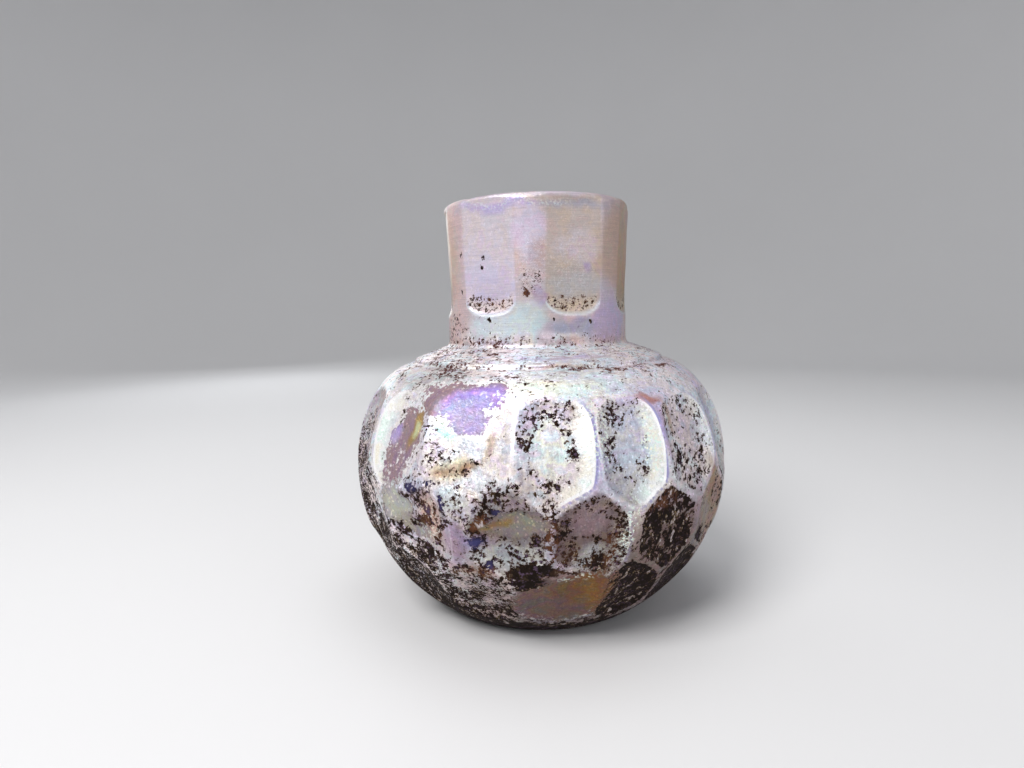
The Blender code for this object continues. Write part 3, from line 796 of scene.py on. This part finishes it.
# Noises of the glass, in the order that glassMaterial takes them: features for each millimetre
# across, into and up the wall, octaves, roughness
noises = {
    "drift": (0.24, 0.24, 0.24, 3, 0.65),  # slow change of the pearl's hue
    "mottle": (0.85, 0.85, 0.85, 3, 0.68),  # light and dark in the crust
    "streak": (0.35, 0.35, 3.2, 4, 0.6),  # level streaks
    "turned": (0.22, 0.22, 6.5, 2, 0.7),  # fine lines round the neck
    "ground": (2.6, 2.6, 0.35, 3, 0.6),  # wheel marks up and down the facets
    "grain": (6.0, 6.0, 6.0, 2, 0.6),
    "torn": (1.3, 1.3, 1.3, 4, 0.72),  # ragged edges and cracks
    "bands": (0.72, 0.72, 0.4, 2, 0.6),  # shifting colours of the bare glass
    "pits": (1.15, 1.15, 1.15, 3, 0.72),
    "finePits": (2.3, 2.3, 3.45, 3, 0.68),
    "crumbs": (0.85, 0.85, 0.425, 3, 0.75),  # rust and pale crumbs in the pits
}
# Ramps from a noise to a colour: stops of noise and colour
ramps = {
    "pearl": [
        (0.30, (0.98, 0.86, 0.95)), (0.38, (0.95, 0.93, 1.0)), (0.44, (0.86, 1.0, 0.97)),
        (0.50, (1.0, 0.98, 0.96)), (0.56, (1.0, 0.97, 0.84)), (0.62, (0.99, 0.89, 0.93)),
        (0.70, (0.88, 0.93, 1.0)),
    ],
    "mottle": [(0.30, (0.72, 0.70, 0.72)), (0.48, (0.97, 0.96, 0.97)), (0.62, (1.1, 1.1, 1.1))],
    "streak": [(0.36, (0.88, 0.86, 0.88)), (0.50, (1.0, 1.0, 1.0))],
    "turned": [(0.36, (0.90, 0.90, 0.93)), (0.50, (1.0, 1.0, 1.0)), (0.62, (1.05, 1.05, 1.04))],
    "ground": [(0.38, (0.86, 0.85, 0.90)), (0.52, (1.0, 1.0, 1.0)), (0.64, (1.06, 1.06, 1.04))],
    "glare": [(0.38, (0.84, 1.0, 0.92)), (0.48, (1.0, 1.0, 0.98)), (0.62, (1.0, 0.97, 0.82))],
    "grain": [(0.34, (0.86, 0.85, 0.86)), (0.50, (1.0, 1.0, 1.0)), (0.62, (1.08, 1.08, 1.08))],
    "sheen": [
        (0.30, (0.88, 0.80, 1.02)), (0.45, (1.0, 0.95, 1.04)), (0.55, (1.04, 1.0, 0.93)),
        (0.68, (0.93, 1.02, 1.05)),
    ],
    "pit": [(0.0, (0.120, 0.050, 0.026)), (0.25, (0.030, 0.014, 0.008)), (1.0, (0.010, 0.005, 0.003))],
}
# Coats laid over the crust, the glass and the pits: share, colour, and how it is laid on
coats = {
    "stain": (0.6, (0.40, 0.26, 0.28)),
    "foot highlight": (0.55, (0.80, 0.92, 0.95)),
    "crackle": (0.7, (0.92, 0.92, 0.98)),
    "facet shade": (0.75, (0.84, 0.79, 0.84), "MULTIPLY"),
    "facet light": (1.0, (1.0, 1.0, 1.0)),
    "rimShadow": (1.0, (0.34, 0.33, 0.58)),
    "ridge": (0.4, (1.28, 1.25, 1.27), "MULTIPLY"),
    "flakeGlint": (1.0, (1.5, 1.5, 1.56), "MULTIPLY"),
    "foam": (0.6, (0.95, 0.94, 0.93)),
    "glass crack": (0.8, (0.55, 0.50, 0.33)),
    "glint": (0.6, (2.2, 2.1, 1.8), "MULTIPLY"),
    "bare rim": (0.6, (0.10, 0.07, 0.06)),
    "snow": (1.0, (0.97, 0.95, 0.95)),
    "rust": (0.8, (0.14, 0.054, 0.027)),
    "golden": (1.0, (0.30, 0.20, 0.10)),
    "pale crumb": (1.0, (0.50, 0.44, 0.46)),
    "faded": (1.0, (0.12, 0.075, 0.13)),
    "disc pit": (0.6, (0.13, 0.05, 0.045)),
    "indigo": (1.0, (0.055, 0.055, 0.17)),
}
# Finish of the glass: flakes and specks, roughness, metal, the film that shimmers, relief
finish = {
    "flakes": 3.6,  # for each millimetre
    "specks": 1.5,
    "speckJag": (1.1, 1.1, 1.1),  # millimetres that noise pulls a speck's outline about
    # pairs of colours to blend between
    "sparkle": ((1.0, 0.97, 0.80), (0.80, 1.0, 0.96)),
    "dust": ((0.42, 0.36, 0.36), (0.66, 0.61, 0.62)),
    "crustRough": 0.36,
    "glassRough": 0.28,
    "pitRough": 0.92,
    "metal": 0.42,
    "bareMetal": 0.168,
    "film": (330.0, 620.0),  # thickness in nanometres
    "filmIor": 1.36,
    "gloss": 0.16,
    "relief": 0.00030,  # metres
    "bump": 0.9,
}


class Value:
    # a node's output; arithmetic with it adds Math nodes
    def __init__(self, nodes, socket):
        self.nodes, self.socket = nodes, socket

    def __add__(self, other):
        return self.nodes.maths("ADD", self, other)

    def __sub__(self, other):
        return self.nodes.maths("SUBTRACT", self, other)

    def __rsub__(self, other):
        return self.nodes.maths("SUBTRACT", other, self)

    def __mul__(self, other):
        return self.nodes.maths("MULTIPLY", self, other)

    def __abs__(self):
        return self.nodes.maths("ABSOLUTE", self)


class Nodes:
    # adds nodes to a new material and gives back their outputs as values
    def __init__(self, name):
        self.material = bpy.data.materials.new(name)
        self.material.use_nodes = True
        self.tree = self.material.node_tree

    def fill(self, node, inputs):
        # a value is linked to its socket, a plain number or colour is set on it
        for key, value in inputs.items():
            if isinstance(value, Value):
                self.tree.links.new(value.socket, node.inputs[key])
            else:
                node.inputs[key].default_value = value

    def add(self, kind, inputs, output=0, **settings):
        # a node of this kind with its settings and inputs
        node = self.tree.nodes.new("ShaderNode" + kind)
        for key, value in settings.items():
            setattr(node, key, value)
        self.fill(node, inputs)
        return Value(self, node.outputs[output])

    def mark(self, name, output="Fac"):
        # a field stored on the mesh
        return self.add("Attribute", {}, output, attribute_name=name)

    def maths(self, operation, *values):
        return self.add("Math", dict(enumerate(values)), operation=operation)

    def noise(self, place, x, y, z, octaves, rough):
        # noise with this many features along each axis
        scaled = self.add("Mapping", {"Vector": place, "Scale": (x, y, z)})
        values = {"Vector": scaled, "Scale": 1.0, "Detail": octaves, "Roughness": rough}
        return self.add("TexNoise", values)

    def cells(self, place, scale):
        # distance to the nearest of scattered points, and three chances that belong to that point
        distance = self.add("TexVoronoi", {"Vector": place, "Scale": scale})
        node = distance.socket.node
        split = self.add("SeparateColor", {"Color": Value(self, node.outputs["Color"])})
        return distance, [Value(self, output) for output in split.socket.node.outputs]

    def between(self, value, low, high):
        # 0 at low, 1 at high, by 3t^2 - 2t^3
        values = {"Value": value, "From Min": low, "From Max": high}
        return self.add("MapRange", values, interpolation_type="SMOOTHSTEP")

    def band(self, value, start, full, fade, end):
        # 0 up to start, 1 from full to fade, 0 from end
        return self.between(value, start, full) * self.between(value, end, fade)

    def blend(self, share, a, b, kind="MIX"):
        # a * (1 - share) + c * share, where c is b, or a * b for MULTIPLY
        colours = [colour if isinstance(colour, Value) else (*colour, 1) for colour in (a, b)]
        inputs = {0: share, 6: colours[0], 7: colours[1]}
        return self.add("Mix", inputs, 2, data_type="RGBA", blend_type=kind)

    def blendValue(self, share, a, b):
        # a * (1 - share) + b * share
        return self.add("Mix", {0: share, 2: a, 3: b}, data_type="FLOAT")

    def coat(self, under, cover, name):
        # one of the coats over what is under it
        share, colour, *kind = coats[name]
        return self.blend(cover * share, under, colour, *kind)

    def ramp(self, value, name):
        # the colour that one of the ramps has at the value
        made = self.add("ValToRGB", {"Fac": value})
        elements = made.socket.node.color_ramp.elements
        while len(elements) < len(ramps[name]):
            elements.new(0.5)
        for element, (position, colour) in zip(elements, ramps[name]):
            element.position = position
            element.color = (*colour, 1)
        return made


def glassMaterial():
    # layers from below: glass, pearly crust, ridges lightened by wear and painted highlight, painted
    # glints, dark pits
    nodes = Nodes("weatheredGlass")
    mark, between, band, cells = nodes.mark, nodes.between, nodes.band, nodes.cells
    blend, blendValue, coat, ramp = nodes.blend, nodes.blendValue, nodes.coat, nodes.ramp
    place = mark("skin", "Vector")
    drift, mottle, streak, turned, ground, grain, torn, bands, pits, finePits, crumbs = (
        nodes.noise(place, *settings) for settings in noises.values())

    # the crust's pearl: slow drift of hue, and a finer mottle of light and dark
    neck = mark("neckSide")
    rugged = 1 - neck * 0.85
    pearly = 1 - neck * 0.45
    crust = blend(pearly, mark("tint", "Vector"), ramp(drift, "pearl"), "MULTIPLY")
    crust = blend(rugged, crust, ramp(mottle, "mottle"), "MULTIPLY")
    crust = blend(rugged * 0.8, crust, ramp(streak, "streak"), "MULTIPLY")
    crust = blend(neck, crust, ramp(turned, "turned"), "MULTIPLY")
    streaky = mark("streaky")
    crust = coat(crust, between(streak, 0.53, 0.64) * streaky, "stain")
    # painted highlight along the feet of the neck's flats
    crust = coat(crust, mark("footHighlight"), "foot highlight")
    crackle = between(abs(torn - 0.5), 0.018, 0.005) * mark("crackle")
    crust = coat(crust, crackle, "crackle")

    # facets: wheel marks, painted highlight on one side, painted shade on the other, thin painted rim lines
    sharp = mark("facetEdge")
    edge = sharp + (mottle * 0.12 - 0.06)
    inFacet = between(edge, 0.0, 0.05)
    crust = blend(inFacet, crust, ramp(ground, "ground"), "MULTIPLY")
    paintedHighlight = mark("paintedHighlight")
    crust = coat(crust, mark("shade") * inFacet, "facet shade")
    # painted highlight over the lit side of the hollow, and a thin painted highlight along its rim
    crust = blend(paintedHighlight * inFacet * 0.85, crust, ramp(drift, "glare"))
    crust = coat(crust, band(sharp, -0.02, 0.01, 0.03, 0.07) * paintedHighlight, "facet light")
    # dark violet line just outside that rim: painted shadow
    crust = coat(crust, band(sharp, -0.12, -0.05, -0.03, 0.0) * mark("rimShadow"), "rimShadow")
    # ridges between the facets made lighter: worn crust and painted highlight
    crust = coat(crust, band(edge, -0.22, -0.02, 0.0, 0.09), "ridge")

    # fine grain, and painted glints on single flakes
    crust = blend(pearly, crust, ramp(grain, "grain"), "MULTIPLY")
    sparkle, warmth, flakeGlint = cells(place, finish["flakes"])[1]
    crust = coat(crust, between(flakeGlint, 0.92, 0.95) * (rugged * 0.5 + 0.15), "flakeGlint")

    # the bare glass, with shifting bands of colour, foam round it and a dark rim low down
    bare = mark("bare") + (torn * 1.5 - 0.75)
    isBare = between(bare, 0.0, 0.10)
    foam = mark("foam")
    crust = coat(crust, between(bare, -0.35, -0.02) * foam, "foam")
    glass = blend(1.0, mark("glassTint", "Vector"), ramp(bands, "sheen"), "MULTIPLY")
    glass = coat(glass, crackle, "glass crack")
    # painted glints on the glass
    glass = coat(glass, between(flakeGlint, 0.93, 0.96) * rugged, "glint")
    colour = blend(isBare, crust, glass)
    colour = coat(colour, band(bare, -0.08, 0.0, 0.02, 0.10) * (1 - foam), "bare rim")

    # flecks of crust left on the glass, and painted glints
    jag = nodes.add("CombineXYZ", {"X": grain, "Y": mottle, "Z": grain})
    inputs = {0: jag, 1: finish["speckJag"], 2: place}
    shifted = nodes.add("VectorMath", inputs, operation="MULTIPLY_ADD")
    distance, (chance, *_) = cells(shifted, finish["specks"])
    colour = coat(colour, between(chance * 0.50 - distance, 0.0, 0.05) * mark("snow"), "snow")
    sparkling = between(sparkle, 0.68, 0.74) * mark("paintedGlints")
    colour = blend(sparkling, colour, blend(warmth, *finish["sparkle"]))

    # dark pits and specks, rust at their edges and crumbs in them
    rich = mark("rich")
    level = blendValue(inFacet, mark("skinLevel"), mark("facetLevel"))
    dent = between(level - pits, 0.014, 0.034)
    level = level - isBare * 0.16 - paintedHighlight * 0.10
    depth = level - blendValue(mark("fine"), pits, finePits) - (0.02 - rich * 0.02)
    reach = between(level, 0.26, 0.54) * chance
    depth = nodes.maths("MAXIMUM", depth, (reach * 0.68 - distance) * 0.35)
    isPit = between(depth, -0.004, 0.012)
    pit = ramp(between(depth, 0.0, 0.10), "pit")
    pit = coat(pit, mark("rusty") * between(crumbs, 0.40, 0.52), "rust")
    loose = rich * (1 - mark("solidDark"))
    pit = coat(pit, between(crumbs, 0.56, 0.62) * (loose * 0.6 + 0.1), "golden")
    pit = coat(pit, between(crumbs, 0.61, 0.64) * loose, "pale crumb")
    pit = coat(pit, between(torn, 0.55, 0.61) * (0.7 - loose * 0.5), "faded")
    pit = coat(pit, streaky, "disc pit")
    pit = coat(pit, mark("indigo"), "indigo")
    colour = blend(isPit, colour, pit)

    # the hollow: dusty crust, without the marks of the outside
    colour = blend(mark("hollowSide"), colour, blend(mottle, *finish["dust"]))

    solid = 1 - isPit
    rough = blendValue(isBare, finish["crustRough"], finish["glassRough"]) + (mottle * 0.3 - 0.15)
    thinnest, thickest = finish["film"]
    film = nodes.add("MapRange", {
        "Value": drift, "From Min": 0.35, "From Max": 0.65, "To Min": thinnest, "To Max": thickest,
    })
    dent = dent * between(mark("bare"), 0.25, -0.1)
    relief = dent * -0.55 + mottle * 0.5 + grain * 0.16
    nodes.fill(nodes.tree.nodes["Principled BSDF"], {
        "Base Color": colour,
        "Roughness": blendValue(isPit, rough, finish["pitRough"]),
        "Metallic": solid * blendValue(isBare, finish["metal"], finish["bareMetal"]),
        "Thin Film Thickness": film * solid,
        "Thin Film IOR": finish["filmIor"],
        "Specular IOR Level": finish["gloss"],
        "Normal": nodes.add("Bump", {
            "Height": relief, "Distance": finish["relief"], "Strength": finish["bump"],
        }),
    })
    print("glass finish made")
    return nodes.material


# Floor and backdrop, one pale bowl all round, in metres
room = {
    "floor": 0.5, "corner": 0.35, "wall": 1.1, "columns": 96,
    "rings": [(0.12, 0.0), (0.3, 0.0)],  # further points of the floor: radius, height
    "dark": (0.7178, 0.7178, 0.7275),
    "pale": (0.7548, 0.7548, 0.7650),
    "tones": 6.0,  # soft patches for each metre
    "rough": 0.85,
}


def makeRoom():
    # profile: straight floor, quarter circle, straight wall, turned round the axis
    corner = arc((room["floor"], room["corner"]), (room["corner"],) * 2, -90, 0, 16)
    top = (room["floor"] + room["corner"], room["wall"])
    profile = np.concatenate([room["rings"], corner, [top]])
    angle = np.radians(np.linspace(0, 360, room["columns"], endpoint=False))
    across, rise = profile[:, :1], profile[:, 1:]
    points = np.stack([across * np.cos(angle), across * np.sin(angle), rise * np.ones(len(angle))], axis=-1)
    backdrop = closedShell("backdrop", points, [(0, 0, 0)])
    nodes = Nodes("paper")
    place = nodes.add("TexCoord", {}, "Object")
    tone = nodes.noise(place, *[room["tones"]] * 3, 2, 0.5)
    paper = {"Base Color": nodes.blend(tone, room["dark"], room["pale"]), "Roughness": room["rough"]}
    nodes.fill(nodes.tree.nodes["Principled BSDF"], paper)
    backdrop.data.materials.append(nodes.material)


# Lights: place, aim, width in metres, power in watts, colour
lights = {
    "key": ((-0.20, -0.27, 0.42), (0, 0, 0.036), 0.26, 2.3, (1.0, 0.985, 0.97)),
    "fill": ((0.40, -0.30, 0.26), (0, 0, 0.036), 0.30, 0.35, (0.95, 0.97, 1.0)),
    "top": ((0.02, 0.05, 0.60), (0, 0, 0.04), 0.40, 0.70, (1.0, 1.0, 1.0)),
    "back": ((-0.25, 0.42, 0.22), (0, 0, 0.04), 0.30, 0.40, (0.96, 0.98, 1.0)),
}
# The sky all round them
sky = {"Color": (0.9, 0.92, 0.95, 1), "Strength": 0.30}


def makeLights():
    # round lamps turned to their aims, and a dim even sky
    for name, (place, aim, width, power, colour) in lights.items():
        lamp = bpy.data.lights.new(name, "AREA")
        lamp.shape, lamp.size = "DISK", width
        lamp.energy, lamp.color = power, colour
        holder = bpy.data.objects.new(name, lamp)
        holder.location = place
        holder.rotation_euler = (Vector(aim) - Vector(place)).to_track_quat("-Z", "Y").to_euler()
        bpy.context.scene.collection.objects.link(holder)
    world = bpy.data.worlds.new("studio")
    world.use_nodes = True
    for name, value in sky.items():
        world.node_tree.nodes["Background"].inputs[name].default_value = value
    bpy.context.scene.world = world


# Camera: close to the bottle, a little under its rim, fitted to the photograph
view = {
    "place": (0.0, -0.120, 0.0552), "yaw": 2.46, "pitch": 6.77, "roll": 1.2,
    "focal": 600 / 1024,  # as a share of the frame's width
}


def makeCamera():
    # turned by the yaw, tipped down by the pitch, then rolled about its own axis
    yaw, pitch, roll = (math.radians(view[name]) for name in ("yaw", "pitch", "roll"))
    data = bpy.data.cameras.new("camera")
    data.sensor_width = 36
    data.lens = view["focal"] * data.sensor_width
    data.clip_start = 0.005
    camera = bpy.data.objects.new("camera", data)
    camera.matrix_world = (
        Matrix.Translation(view["place"]) @ Matrix.Rotation(yaw, 4, "Z")
        @ Matrix.Rotation(math.pi / 2 - pitch, 4, "X") @ Matrix.Rotation(-roll, 4, "Z")
    )
    bpy.context.scene.collection.objects.link(camera)
    bpy.context.scene.camera = camera


bottle = makeBottle()
bottle.data.materials.append(glassMaterial())
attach(bottle, "root")
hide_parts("bottle")
makeRoom()
makeLights()
makeCamera()
bpy.context.scene.view_settings.view_transform = "Standard"
print("stage, lights and camera made")
